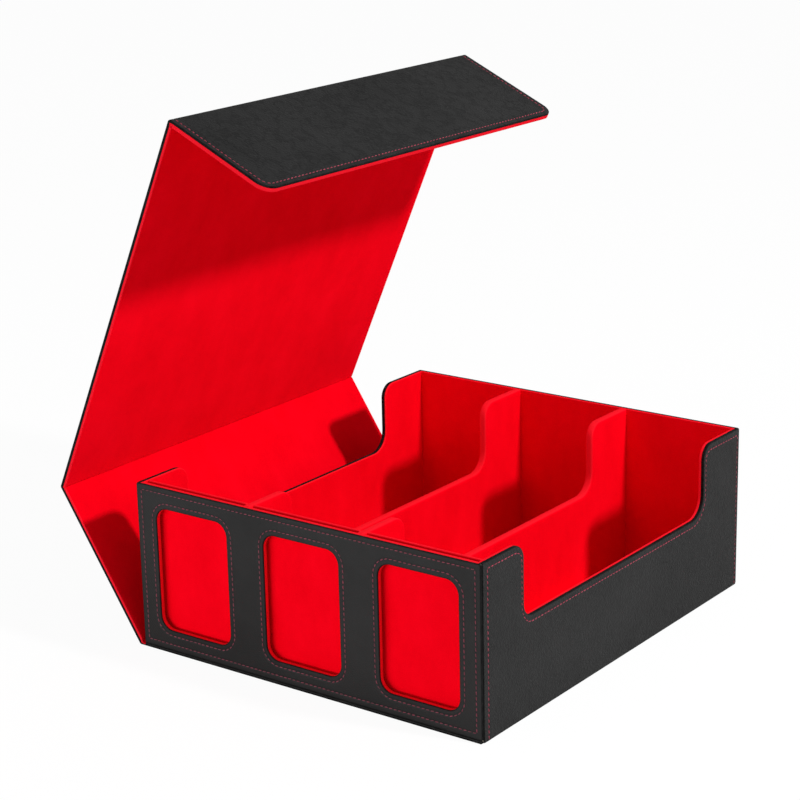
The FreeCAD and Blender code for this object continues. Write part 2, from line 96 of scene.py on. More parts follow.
# Windows and finger scoops
WINDOW_WIDTH = 58.0
WINDOW_SILL = 16.0
WINDOW_TOP = 98.0
WINDOW_RADIUS = 9.0
WINDOW_CENTRES = [(low(f"pocket_lining_{n}").x + high(f"pocket_lining_{n}").x) / 2 for n in (1, 2, 3)]
SCOOP_FRONT = -108.5
SCOOP_BACK = 105.0
SCOOP_SILL = 64.0
LIP_RADIUS = 10.0
FRONT_ROOT = 9.0
BACK_ROOT = 14.0
FLAP_CORNER = 10.0
PANEL_CORNER = 1.2

# Edges, seams and how finely the sheets are divided
LEATHER_ROUND = 0.75
LINING_ROUND = 0.45
FLAT_FROM = 3.0
CREASE = 1.3
CREASE_FLOOR = 0.176
CREASE_LAP = 0.25
LIP_CORNER = 0.3
DIVIDER_ROUND = 1.5
POCKET_ROUND = 0.8
SEAM_DEPTH = 0.25
SEAM_HALF = 0.9
SEAM_SHOULDER = 0.8
STEP = 9.0
ARC_POINTS = 9
ROUND_STEPS = 4
WAVE = 0.1
CALM_EDGE = 5.0
SMOOTH_ANGLE = math.radians(32)
SAME_POINT = 1e-5
SAME_PLACE = 1e-4
# Points this near, in metres, are merged
MERGED = 2e-6

# How far the leather turns over a board's edge, under the lining
LEFT_TURN = 2.2
RIGHT_TURN = 1.4
BACK_TURN = 1.8
COVER_TURN = 1.7
FLAP_TURN = 0.6
TURNED_LEATHER = 0.58
TURN_ROUND = 0.3
LINED_ENDS = (LEFT + LEATHER + LEFT_TURN, RIGHT - LEATHER - RIGHT_TURN)

# Stitches
STITCH_PITCH = 3.4
STITCH_LENGTH = 2.55
STITCH_WIDTH = 0.66
STITCH_RISE = 0.3
STITCH_LEAN = math.radians(7)
STITCH_WAVE = 0.7
# How blunt a stitch's ends are, how full it is, and its crown and dip as shares of its rise
STITCH_KEPT = 0.97
STITCH_FULLNESS = 0.7
STITCH_CROWN = 0.35
STITCH_DIP = 0.9
STITCH_RINGS = 7
STITCH_SIDES = 8
SHARP_TURN = math.radians(50)
FRONT_SEAM = 4.0
WINDOW_SEAM = 3.6
SIDE_SEAM = 4.6
COVER_SEAM = 4.0
# The factors of the side seam's distance at the front, top, scoop's front, sill and back, and the back
SIDE_SHARES = (1.09, 1.0, 0.46, 0.96, 0.65, 0.43)


# ---- outlines


def steps_along(start, end):
    """How many steps a straight run is divided into."""
    return max(1, math.ceil(math.dist(start, end) / STEP))


def divided(start, end, count):
    """Points that divide a straight run into a number of steps, without its two ends."""
    shares = [step / count for step in range(1, count)]
    return [tuple(a + (b - a) * share for a, b in zip(start, end)) for share in shares]


def arc(centre, radius, begin, end, rise=None):
    """Points along an arc with its ends, its angles in degrees. rise is its height, if it isn't round."""
    rise = radius if rise is None else rise
    points = []
    for step in range(ARC_POINTS):
        angle = math.radians(begin + (end - begin) * step / (ARC_POINTS - 1))
        points.append((centre[0] + radius * math.cos(angle), centre[1] + rise * math.sin(angle)))
    return points


def joined(stops, full_stops):
    """A line through runs of points. full_stops has the same runs at full size, which set its steps."""
    line = list(stops[0])
    for index in range(1, len(stops)):
        count = steps_along(full_stops[index - 1][-1], full_stops[index][0])
        line.extend(divided(stops[index - 1][-1], stops[index][0], count))
        line.extend(stops[index])
    return line


def free_edge(runs):
    """A free edge as a function of how far it is drawn in. runs(inset) gives its arcs and corners."""
    full = runs(0.0)
    return lambda inset: joined(runs(inset), full)


def straight_edge(start, end, inward):
    """A straight free edge, drawn in along a direction."""
    x, y = inward
    return free_edge(lambda inset: [[(u + x * inset, v + y * inset)] for u, v in (start, end)])


def rectangle_edge(left, right, bottom, top, radius, way=1):
    """A closed edge round a rectangle with rounded corners, drawn inward, or outward if way is -1."""

    def runs(inset):
        inward = way * inset
        turn = max(radius - inward, 0.0)
        centre_in = max(radius, inward)
        near, far = left + centre_in, right - centre_in
        under, over = bottom + centre_in, top - centre_in
        centres = ((far, over), (far, under), (near, under), (near, over))
        arcs = [arc(centre, turn, 90 - 90 * index, -90 * index) for index, centre in enumerate(centres)]
        return [*arcs, [arcs[0][0]]]

    closed = free_edge(runs)
    return lambda inset: closed(inset)[:-1]


def window_edge(middle):
    """A closed edge round a window, drawn outward into the sheet."""
    half = WINDOW_WIDTH / 2
    return rectangle_edge(middle - half, middle + half, WINDOW_SILL, WINDOW_TOP, WINDOW_RADIUS, -1)


def scoop_runs(inset, shares=(1.0, 1.0, 1.0, 1.0)):
    """The scoop's arcs, front to back. Its top, front, sill and back draw in by their shares."""
    top, front, sill, back = [inset * share for share in shares]
    lip_height, front_root, back_root = TOP - LIP_RADIUS, SCOOP_SILL + FRONT_ROOT, SCOOP_SILL + BACK_ROOT
    return [
        arc((SCOOP_FRONT - LIP_RADIUS, lip_height), LIP_RADIUS - front, 90, 0, LIP_RADIUS - top),
        arc((SCOOP_FRONT + FRONT_ROOT, front_root), FRONT_ROOT + front, 180, 270, FRONT_ROOT + sill),
        arc((SCOOP_BACK - BACK_ROOT, back_root), BACK_ROOT + back, 270, 360, BACK_ROOT + sill),
        arc((SCOOP_BACK + LIP_RADIUS, lip_height), LIP_RADIUS - back, 180, 90, LIP_RADIUS - top),
    ]


def scooped_edge(front, back):
    """The free upper edge of a side wall or divider."""
    return free_edge(lambda inset: [[(front, TOP - inset)], *scoop_runs(inset), [(back, TOP - inset)]])


def scooped_wrap_edge(front, back, bottom):
    """The free edges of a side wall's leather: up its front, along the scoop and down its back."""
    near_share, top_share, *others, far_share = SIDE_SHARES

    def runs(inset):
        near, far, top = front + inset * near_share, back - inset * far_share, TOP - inset * top_share
        scoop = scoop_runs(inset, (top_share, *others))
        return [[(near, bottom)], [(near, top)], *scoop, [(far, top)], [(far, bottom)]]

    return free_edge(runs)


def top_edge(left, right):
    """The straight free upper edge of an upright sheet."""
    return straight_edge((left, TOP), (right, TOP), (0, -1))


def upright_border(edge, start, end):
    """The border of an upright sheet: its free upper edge, and its two fixed feet."""
    return [edge(start, end), (end, BASE_TOP), (start, BASE_TOP)]


def side_edges(start, end):
    """The two free edges of a cover panel between its folds."""
    return [
        straight_edge((start, FACE), (end, FACE), (0, 1)),
        straight_edge((end, REAR), (start, REAR), (0, -1)),
    ]


def flap_edge(start, tip):
    """The free edge of the flap: out along one side, round the tip and back along the other."""

    def runs(inset):
        turn = FLAP_CORNER - inset
        return [
            [(start, FACE + inset)],
            arc((tip - FLAP_CORNER, FACE + FLAP_CORNER), turn, -90, 0),
            arc((tip - FLAP_CORNER, REAR - FLAP_CORNER), turn, 0, 90),
            [(start, REAR - inset)],
        ]

    return free_edge(runs)


# ---- sheets


def outline(border, inset):
    """The closed outline of a sheet: its free edges drawn in, its fixed corners as they are."""
    runs = [part(inset) if callable(part) else [part] for part in border]
    if len(runs) == 1:
        return runs[0]
    points = []
    for run, following in zip(runs, runs[1:] + runs[:1]):
        start, end = run[-1], following[0]
        points.extend([*run, *divided(start, end, steps_along(start, end))])
    return points


def loops_of(border, holes, inset):
    """A sheet's outline and its holes, all drawn in."""
    return [outline(border, inset), *[hole(inset) for hole in holes]]


def inside(point, loops):
    """Whether a point lies in a sheet: in its outline, and in none of its holes."""
    x, y = point
    crossings = 0
    for loop in loops:
        for (x1, y1), (x2, y2) in zip(loop, loop[1:] + loop[:1]):
            if (y1 > y) != (y2 > y) and x < x1 + (y - y1) * (x2 - x1) / (y2 - y1):
                crossings += 1
    return crossings % 2 == 1


def grid_points(border, holes, inset):
    """Points of an even grid that lie well inside the sheet."""
    loops = loops_of(border, holes, inset + STEP / 3)
    (left, bottom), (right, top) = [[pick(axis) for axis in zip(*loops[0])] for pick in (min, max)]
    columns, rows = int((right - left) / STEP) + 1, int((top - bottom) / STEP) + 1
    grid = [
        (left + (column + 0.5) * (right - left) / columns, bottom + (row + 0.5) * (top - bottom) / rows)
        for column in range(columns)
        for row in range(rows)
    ]
    return [point for point in grid if inside(point, loops)]


def wave(u, v):
    """The slight unevenness of a covering glued over board."""
    return WAVE * (
        math.sin(u / 17.0 + 0.6 * math.sin(v / 23.0)) * 0.5
        + math.sin(v / 13.0 + u / 41.0 + 1.3) * 0.3
        + math.sin(u / 7.3 - v / 9.1 + 0.4) * 0.2
    )


@contextmanager
def editing(mesh):
    """A mesh's points and faces to work on, put back into it at the end."""
    shaped = bmesh.new()
    shaped.from_mesh(mesh)
    yield shaped
    shaped.to_mesh(mesh)
    shaped.free()


def new_mesh(name, points, faces, insets=None, is_closed=False):
    """A mesh with its points merged, its normals outward and its ends closed if asked.

    insets says how far each point lies from a free edge, which the materials read.
    """
    mesh = bpy.data.meshes.new(name)
    mesh.from_pydata(points, [], faces)
    if insets:
        mesh.attributes.new("edge_distance", "FLOAT", "POINT").data.foreach_set("value", insets)
    with editing(mesh) as shaped:
        bmesh.ops.remove_doubles(shaped, verts=shaped.verts, dist=MERGED)
        if is_closed:
            open_edges = [edge for edge in shaped.edges if edge.is_boundary]
            bmesh.ops.holes_fill(shaped, edges=open_edges, sides=0)
        bmesh.ops.recalc_face_normals(shaped, faces=shaped.faces)
    return mesh


def faces_between(first, count, is_closed=True):
    """The faces between a run of points and the next run, which follows on from it."""
    starts = range(count if is_closed else count - 1)
    sides = [(first + step, first + (step + 1) % count) for step in starts]
    return [(a, b, b + count, a + count) for a, b in sides]


class Sheet:
    """The points and faces of one piece as they are gathered, and each point's inset."""

    def __init__(self, plane, is_wavy=True):
        self.plane = plane
        self.is_wavy = is_wavy
        self.points = []
        self.faces = []
        self.insets = []

    def add(self, flat, level):
        """Adds points at one level, an (inset, height), and says at which index they start."""
        inset, height = level
        first = len(self.points)
        calm = min(1.0, inset / CALM_EDGE) if self.is_wavy else 0.0
        for u, v in flat:
            self.points.append(self.plane @ (Vector((u, v, height + calm * wave(u, v))) * MM))
            self.insets.append(inset)
        return first

    def strip(self, edge, levels, is_closed):
        """Joins one free edge through levels."""
        for pair in zip(levels, levels[1:]):
            here, there = [self.add(edge(level[0]), level) for level in pair]
            self.faces.extend(faces_between(here, there - here, is_closed))

    def fill(self, border, holes, level, has_grid):
        """Covers the sheet inside its free edges at one level, on an even grid if asked."""
        loops = loops_of(border, holes, level[0])
        flat, edges = [], []
        for loop in loops:
            first, count = len(flat), len(loop)
            flat.extend(loop)
            edges.extend((first + i, first + (i + 1) % count) for i in range(count))
        if has_grid:
            flat.extend(grid_points(border, holes, level[0]))
        net, _, triangles, *_ = delaunay_2d_cdt([Vector(p) for p in flat], edges, [], 0, SAME_POINT)
        first = self.add(net, level)
        for triangle in triangles:
            middle = sum((net[i] for i in triangle), Vector((0, 0))) / 3
            if inside(middle, loops):
                self.faces.append(tuple(first + i for i in triangle))

    def cover(self, border, holes, levels, fills):
        """Builds the strips along the free edges, and the fills, each a level's index and has_grid."""
        for edge in filter(callable, border):
            self.strip(edge, levels, len(border) == 1)
        for hole in holes:
            self.strip(hole, levels, True)
        for index, has_grid in fills:
            self.fill(border, holes, levels[index], has_grid)

    def mesh(self, name, is_closed):
        return new_mesh(name, self.points, self.faces, self.insets, is_closed)


def rounding(radius, thickness):
    """The (inset, height) levels of a rounded edge, from its face to its side."""
    levels = []
    for step in range(ROUND_STEPS + 1):
        angle = math.radians(90 * (1 - step / ROUND_STEPS))
        levels.append((radius * (1 - math.cos(angle)), thickness - radius * (1 - math.sin(angle))))
    return levels


def seam(distance, thickness):
    """The levels across a stitched channel that runs at a distance from the edge."""
    half = ((1.0, 0.0), (0.6, 0.3), (0.3, 0.8))
    shape = [*half, (0.0, 1.0), *[(-side, share) for side, share in reversed(half)]]
    return [(distance + SEAM_HALF * side, thickness - SEAM_DEPTH * share) for side, share in shape]


def leather_levels(distance):
    """The levels of a stitched covering, from its field over its edge to its underside."""
    field = (distance + SEAM_HALF + SEAM_SHOULDER, LEATHER)
    return [field, *seam(distance, LEATHER), *rounding(LEATHER_ROUND, LEATHER), (0.0, 0.0)]


def lining_levels(depth, turned):
    """The levels of a lining that wraps its board's free edge as far as the turned leather."""
    return [(FLAT_FROM, depth), *rounding(LINING_ROUND, depth), (0.0, turned)]


def folded_levels(radius, depth):
    """The levels of a lining from one face of its board over the edge to the other."""
    up = [(FLAT_FROM, depth), *rounding(radius, depth)]
    return up + [(inset, depth - height) for inset, height in reversed(up)]


def turned_levels(depth):
    """The levels round a strip of leather that turns over a board's edge, below its own plane."""
    turn, end = TURN_ROUND, TURNED_LEATHER
    rim = [(0.0, turn - depth), (turn * 0.3, turn * 0.3 - depth), (turn, -depth)]
    return [(0.0, 0.0), *rim, (end, -depth), (end, 0.0), (0.0, 0.0)]


def crease_levels():
    """The levels round the strip of leather at the bottom of the crease between two walls."""
    inner, outer, depth = LEATHER, LEATHER - CREASE_FLOOR, CREASE + CREASE_LAP
    return [(outer, 0.0), (outer, -depth), (inner, -depth), (inner, 0.0), (outer, 0.0)]


def edging(plane, edge, levels):
    """A closed strip of leather along an open edge."""
    strip = Sheet(plane, False)
    strip.strip(edge, levels, False)
    return strip.mesh("edging", True)


def joined_meshes(meshes):
    """Several closed meshes as the first one."""
    with editing(meshes[0]) as whole:
        for mesh in meshes[1:]:
            whole.from_mesh(mesh)
    return meshes[0]


def add_object(name, data):
    """Puts a mesh, lamp or camera in the scene."""
    made = bpy.data.objects.new(name, data)
    bpy.context.scene.collection.objects.link(made)
    return made


def smooth(mesh):
    """Shades a mesh smooth but for its sharp edges."""
    mesh.polygons.foreach_set("use_smooth", [True] * len(mesh.polygons))
    with editing(mesh) as shaded:
        for edge in shaded.edges:
            edge.smooth = len(edge.link_faces) == 2 and edge.calc_face_angle(0.0) < SMOOTH_ANGLE


def place(mesh, material):
    """Puts a mesh in the scene as a piece, shaded smooth, with its material."""
    smooth(mesh)
    mesh.materials.append(material)
    piece = add_object(mesh.name, mesh)
    return piece


def stand_in(mesh, material, body, node):
    """Puts a mesh in the scene as a piece that rides with a body and stands for its node."""
    piece = place(mesh, material)
    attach(piece, body)
    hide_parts(node)
    return piece


def leather_sheet(name, body, plane, border, distance, over, turned):
    """A stitched leather covering that turns over its board along the edges called over."""
    sheet = Sheet(plane)
    levels = leather_levels(distance)
    sheet.cover(border, [], levels, [(0, True), (len(levels) - 1, False)])
    strips = [edging(plane, edge, turned_levels(turned)) for edge in over]
    mesh = joined_meshes([sheet.mesh(f"{name}_leather_wrap", True), *strips])
    stand_in(mesh, PEBBLE if body == "tray" else SHADED_COVER_PEBBLE, body, f"{name}_leather")


def lining_sheet(node, body, plane, border, levels, holes=(), has_two_faces=False):
    """A lining in place of its node: one even layer glued over its board and the free edges."""
    name = f"{node}_wrap" if node.endswith("lining") else node.replace("lining", "wrap")
    sheet = Sheet(plane)
    fills = [(0, True), (len(levels) - 1, True)] if has_two_faces else [(0, True)]
    sheet.cover(border, holes, levels, fills)
    piece = stand_in(sheet.mesh(name, False), SUEDE if body == "tray" else COVER_SUEDE_DIM_SHEEN, body, node)
    layer = piece.modifiers.new("layer", "SOLIDIFY")
    layer.thickness = LINING * MM
    layer.offset = -1.0
    layer.use_even_offset = True
    layer.use_quality_normals = True


# ---- planes


def plane_at(origin, u_axis, v_axis, w_axis):
    """The placement of a flat sheet, from its own u, v and height to the frame."""
    columns = Matrix((u_axis, v_axis, w_axis)).transposed().to_4x4()
    return Matrix.Translation(Vector(origin) * MM) @ columns


def back_to_back(origin, along, across, outward):
    """The planes of a board's leather and of its lining, on its two faces."""
    return [plane_at(origin, along, across, facing) for facing in (outward, -outward)]


X_AXIS, Y_AXIS, Z_AXIS = Vector((1, 0, 0)), Vector((0, 1, 0)), Vector((0, 0, 1))


class Panel:
    """A cover panel's own frame: its fold axis, the way it runs and its outer side."""

    def __init__(self, axis, angle, length):
        self.axis = Vector((axis.x, 0, axis.z))
        self.along = Vector((math.cos(angle), 0, math.sin(angle)))
        self.out = Vector((-math.sin(angle), 0, math.cos(angle)))
        self.length = length

    def planes(self):
        """The planes of the panel's leather and lining."""
        origin = self.axis + self.out * (FOLD_RADIUS - LEATHER)
        return back_to_back(origin, self.along, Y_AXIS, self.out)

    def point(self, forward, outward, across=0.0):
        """A point given from the fold axis, in millimetres."""
        return self.axis + self.along * forward + self.out * outward + Y_AXIS * across


HINGES = {joint["name"]: joint for joint in frame["joints"]}


def direction(start, end):
    """The angle in the XZ plane from one axis to the next."""
    return math.atan2(end.z - start.z, end.x - start.x)


def reach(node, axis, angle):
    """How far a node reaches from an axis, in millimetres."""
    along = Vector((math.cos(angle), 0, math.sin(angle)))
    return max((vertex.co / MM - axis).dot(along) for vertex in frame["nodes"][node].data.vertices)


PLACES = [Vector(HINGES[name]["pos_m"]) for name in ("spine_hinge", "lid_hinge", "flap_hinge")]
SPINE_AXIS, LID_AXIS, FLAP_AXIS = [place / MM for place in PLACES]
SPINE_ANGLE = direction(SPINE_AXIS, LID_AXIS)
LID_ANGLE = direction(LID_AXIS, FLAP_AXIS)
FLAP_ANGLE = LID_ANGLE + math.radians(HINGES["flap_hinge"]["range_deg"][0])

SPINE = Panel(SPINE_AXIS, SPINE_ANGLE, (LID_AXIS - SPINE_AXIS).length)
LID = Panel(LID_AXIS, LID_ANGLE, (FLAP_AXIS - LID_AXIS).length)
FLAP = Panel(FLAP_AXIS, FLAP_ANGLE, reach("flap_leather", FLAP_AXIS, FLAP_ANGLE))


# ---- materials


def feed(tree, node, inputs):
    """Links a node's inputs to the sockets given, and sets those that are given as values."""
    for key, value in inputs.items():
        if isinstance(value, bpy.types.NodeSocket):
            tree.links.new(value, node.inputs[key])
        else:
            node.inputs[key].default_value = value


def add_node(tree, kind, inputs, **settings):
    """A new shader node with its settings and inputs."""
    made = tree.nodes.new("ShaderNode" + kind)
    for key, value in settings.items():
        setattr(made, key, value)
    feed(tree, made, inputs)
    return made


def grey(level):
    """A neutral colour."""
    return (level, level, level)


class Shader:
    """Builds a procedural material on a Principled shader, in object space."""

    def __init__(self, name):
        self.material = bpy.data.materials.new(name)
        self.material.use_nodes = True
        self.tree = self.material.node_tree
        self.where = self.node("TexCoord", "Object", {})

    def node(self, kind, output, inputs, **settings):
        """One output of a new node."""
        return add_node(self.tree, kind, inputs, **settings).outputs[output]

    def stretched(self, scale):
        """The object's coordinates, scaled on each axis."""
        return self.node("Mapping", "Vector", {"Vector": self.where, "Scale": scale})

    def noise(self, scale, detail=2.0, roughness=0.5, where=None):
        inputs = {"Vector": where or self.where, "Scale": scale, "Detail": detail, "Roughness": roughness}
        return self.node("TexNoise", "Fac", inputs)

    def cells(self, scale):
        inputs = {"Vector": self.where, "Scale": scale, "Randomness": 0.9}
        return self.node("TexVoronoi", "Distance", inputs)

    def maths(self, operation, first, second=0.0):
        return self.node("Math", "Value", {0: first, 1: second}, operation=operation)

    def ramp(self, source, *stops):
        """A colour ramp with (position, colour) stops."""
        colour = self.node("ValToRGB", "Color", {"Fac": source})
        elements = colour.node.color_ramp.elements
        while len(elements) < len(stops):
            elements.new(1.0)
        for element, (position, shade) in zip(elements, stops):
            element.position = position
            element.color = (*shade, 1)
        return colour

    def spread(self, source, least, most):
        """A value between two limits, from a source of 0 to 1."""
        return self.node("MapRange", "Result", {"Value": source, "To Min": least, "To Max": most})

    def mixed(self, share, first, second):
        """Two colours mixed by a share. The node's colour sockets are its inputs 6 and 7 and output 2."""
        return self.node("Mix", 2, {"Factor": share, 6: first, 7: second}, data_type="RGBA")

    def near_edge(self, width):
        """1 at a free edge, falling to 0 over a width in millimetres. It masks the painted shade of
        leather edges and the painted sheen of lining edges.
        """
        distance = self.node("Attribute", "Fac", {}, attribute_name="edge_distance")
        inputs = {"Value": distance, "From Max": width, "To Min": 1.0, "To Max": 0.0}
        return self.node("MapRange", "Result", inputs, interpolation_type="SMOOTHSTEP")

    def bump(self, height, strength, depth, **under):
        """The normal over a height map, on top of another Normal if given."""
        inputs = {"Height": height, "Strength": strength, "Distance": depth, **under}
        return self.node("Bump", "Normal", inputs)

    def finish(self, **inputs):
        """The material, once its shader's inputs are linked or set."""
        named = {key.replace("_", " "): value for key, value in inputs.items()}
        feed(self.tree, self.tree.nodes["Principled BSDF"], named)
        return self.material


def weave(shader):
    """A fine grain crossed by slanting lines."""
    inputs = {"Vector": shader.where, "Scale": 260.0, "Distortion": 1.2, "Detail Scale": 2.0}
    slant = shader.node("TexWave", "Fac", inputs, wave_type="BANDS", bands_direction="DIAGONAL")
    return shader.maths("ADD", shader.cells(1500.0), shader.maths("MULTIPLY", slant, 0.35))


def pebbles(shader):
    """A grain of small pebbles on larger ones."""
    return shader.maths("ADD", shader.cells(900.0), shader.maths("MULTIPLY", shader.cells(400.0), 0.6))


def leather_material(name, grain_of, grain_depth, tone, wrinkling):
    """Black imitation leather: mottled near-black, satin and wrinkled, with a given grain, and darkened
    at its free edges as painted shade.
    """
    shader = Shader(name)
    patches = shader.noise(16.0, 5.0, 0.6)
    colour = shader.ramp(patches, (0.3, grey(0.0100 * tone)), (0.7, grey(0.0150 * tone)))
    grain = grain_of(shader)
    valleys = shader.ramp(grain, (0.1, grey(0.0068 * tone)), (0.55, grey(0.0175 * tone)))
    colour = shader.mixed(shader.spread(patches, 0.15, 0.5), colour, valleys)
    # Painted shade: a near-black colour at the free edges, where the turned leather catches little light.
    edge_shade_colour = shader.ramp(shader.noise(240.0, 3.0), (0.3, grey(0.003)), (0.7, grey(0.012)))
    edge = shader.near_edge(1.1)
    painted_edge_shade = shader.maths("MULTIPLY", edge, shader.spread(shader.noise(55.0, 4.0, 0.7), 0.7, 1.0))
    ridges = shader.maths("ABSOLUTE", shader.maths("SUBTRACT", shader.noise(75.0, 5.0, 0.62), 0.5))
    wrinkles = shader.spread(shader.maths("MULTIPLY", ridges, 22.0), 1 - wrinkling, 1.0)
    rubbed = shader.spread(shader.noise(11.0, 3.0, 0.6), 0.55, 1.5)
    sheen = shader.maths("MULTIPLY", wrinkles, rubbed)
    creases = shader.bump(shader.noise(120.0, 5.0, 0.6), 0.4, 0.0005)
    return shader.finish(
        Base_Color=shader.mixed(painted_edge_shade, colour, edge_shade_colour),
        Roughness=shader.spread(shader.noise(90.0, 4.0, 0.65), 0.48, 0.66),
        Normal=shader.bump(grain, 0.6, grain_depth, Normal=creases),
        # Painted shade as well: less gloss at the free edges.
        Specular_IOR_Level=shader.maths("MULTIPLY", shader.spread(edge, 0.2, 0.03), sheen),
    )


def lining_material(name, sheen_tone):
    """Bright red microfibre suede: short nap, brushed in patches, and paler at its edges as a painted
    sheen.
    """
    shader = Shader(name)
    nap = shader.noise(34.0, 5.0, 0.62, shader.stretched((1.0, 1.0, 0.6)))
    brushed = ((0.28, (0.74, 0.0, 0.0055)), (0.5, (0.82, 0.0003, 0.0075)), (0.75, (0.90, 0.001, 0.0105)))
    fibres = shader.noise(2400.0, 2.0, 0.7)
    flecks = shader.ramp(fibres, (0.35, (0.64, 0.0, 0.0045)), (0.65, (0.94, 0.001, 0.012)))
    colour = shader.mixed(shader.spread(fibres, 0.1, 0.35), shader.ramp(nap, *brushed), flecks)
    # Painted sheen: a pale pinkish colour near the free edges.
    painted_edge_sheen = shader.ramp(fibres, (0.3, (sheen_tone, 0.008, 0.018)), (0.7, (sheen_tone + 0.08, 0.024, 0.042)))
    soft = shader.bump(shader.noise(210.0, 4.0, 0.6), 0.18, 0.0004)
    return shader.finish(
        Base_Color=shader.mixed(shader.maths("MULTIPLY", shader.near_edge(0.9), 0.6), colour, painted_edge_sheen),
        Roughness=shader.spread(nap, 0.8, 0.97),
        Normal=shader.bump(fibres, 0.35, 0.00012, Normal=soft),
        Specular_IOR_Level=0.0,
        Sheen_Weight=0.2,
        Sheen_Roughness=0.5,
        Sheen_Tint=(1.0, 0.02, 0.035, 1.0),
    )


def thread_material(name, dark, light):
    """Polyester sewing thread, dull pink-red, twisted."""
    shader = Shader(name)
    return shader.finish(
        Base_Color=shader.ramp(shader.noise(420.0, 3.0), (0.3, dark), (0.7, light)),
        Roughness=shader.spread(shader.noise(900.0, 2.0), 0.45, 0.7),
        Normal=shader.bump(shader.noise(3500.0, 1.0), 0.5, 0.0001),
        Specular_IOR_Level=0.4,
        Sheen_Weight=0.1,
    )


def board_material():
    """Raw greyboard with short fibres."""
    shader = Shader("greyboard")
    fibres = shader.noise(700.0, 4.0, 0.7, shader.stretched((1.0, 0.35, 1.0)))
    return shader.finish(
        Base_Color=shader.ramp(fibres, (0.3, (0.19, 0.165, 0.14)), (0.7, (0.27, 0.24, 0.2))),
        Roughness=shader.spread(fibres, 0.85, 0.98),
        Normal=shader.bump(fibres, 0.4, 0.0002),
        Specular_IOR_Level=0.2,
    )


def metal_material(name, tone, roughness_limits, lines):
    """Plain metal with fine lines from rolling or plating."""
    shader = Shader(name)
    brushed = shader.noise(300.0, 3.0, 0.6, shader.stretched(lines))
    return shader.finish(
        Base_Color=shader.ramp(brushed, (0.3, grey(tone * 0.85)), (0.7, grey(tone))),
        Roughness=shader.spread(brushed, *roughness_limits),
        Normal=shader.bump(brushed, 0.1, 0.00005),
        Metallic=1.0,
    )


PEBBLE = leather_material("leather_pebble", pebbles, 0.0007, 1.05, 0.15)
# The cover's copy of the pebble leather is darker, a painted shade.
SHADED_COVER_PEBBLE = leather_material("leather_pebble_cover_shaded", pebbles, 0.0007, 0.7, 0.5)
WOVEN = leather_material("leather_fine", weave, 0.0002, 0.72, 0.0)
# The tray's suede has the brighter painted sheen at its edges, and the cover's copy a dimmer one.
SUEDE = lining_material("red_suede", 0.9)
COVER_SUEDE_DIM_SHEEN = lining_material("red_suede_cover_dim_sheen", 0.69)
THREAD = thread_material("stitch_thread", (0.21, 0.013, 0.034), (0.40, 0.038, 0.076))
# The front's stitches are a darker copy of the thread, a painted shade.
SHADED_FRONT_THREAD = thread_material("stitch_thread_front_shaded", (0.10, 0.012, 0.026), (0.27, 0.032, 0.062))
BOARD = board_material()
STEEL = metal_material("plain_steel", 0.5, (0.35, 0.55), (1.0, 8.0, 1.0))
MAGNET = metal_material("plated_magnet", 0.65, (0.15, 0.3), (1.0, 1.0, 1.0))


def dress_cad_nodes():
    """Gives every CAD node the material that its name tells of."""
    looks = {"leather": PEBBLE, "lining": SUEDE, "board": BOARD, "steel": STEEL, "magnet": MAGNET}
    for name, node in frame["nodes"].items():
        materials = [look for word, look in looks.items() if word in name]
        node.data.materials.clear()
        node.data.materials.append(materials[0])


# ---- stitching


def rows_of(edge, inset, is_closed):
    """A stitching path split where it turns a sharp corner."""
    path = []
    for point in edge(inset):
        if not path or math.dist(path[-1], point) > SAME_PLACE:
            path.append(point)
    if is_closed:
        path.append(path[0])
    headings = [math.atan2(b[1] - a[1], b[0] - a[0]) for a, b in zip(path, path[1:])]
    rows, row = [], [path[0]]
    for here, before, after in zip(path[1:], headings, headings[1:]):
        row.append(here)
        turn = abs((after - before + math.pi) % (2 * math.pi) - math.pi)
        if turn > SHARP_TURN:
            rows.append(row)
            row = [here]
    rows.append(row + [path[-1]])
    return rows


def stitch_places(row):
    """The middle and direction of every stitch along a row, an even number of pitches apart."""
    steps = [math.dist(a, b) for a, b in zip(row, row[1:])]
    length = sum(steps)
    count = max(1, round(length / STITCH_PITCH))
    places = []
    for number in range(count):
        along = (number + 0.5) * length / count
        index = 0
        while index < len(steps) - 1 and along > steps[index]:
            along -= steps[index]
            index += 1
        start, end = Vector(row[index]), Vector(row[index + 1])
        run = end - start
        places.append((start + run * (along / steps[index]), math.atan2(run.y, run.x)))
    return places


def stitch_shape():
    """One stitch in millimetres: a short bowed strand whose ends dip into the leather."""
    points, faces = [], []
    rings, around = STITCH_RINGS, STITCH_SIDES
    for ring in range(rings):
        share = -1 + 2 * ring / (rings - 1)
        girth = math.sqrt(1 - (share * STITCH_KEPT) ** 2) ** STITCH_FULLNESS
        middle = STITCH_RISE * (STITCH_CROWN - share * share * STITCH_DIP)
        for side in range(around):
            angle = 2 * math.pi * side / around
            across = math.cos(angle) * girth * STITCH_WIDTH / 2
            up = middle + math.sin(angle) * girth * STITCH_RISE
            points.append(Vector((share * STITCH_LENGTH / 2, across, up)))
        if ring < rings - 1:
            faces.extend(faces_between(ring * around, around))
    ends = [range(around), range((rings - 1) * around, rings * around)]
    return points, [*faces, *[tuple(end) for end in ends]]


STITCH_POINTS, STITCH_FACES = stitch_shape()


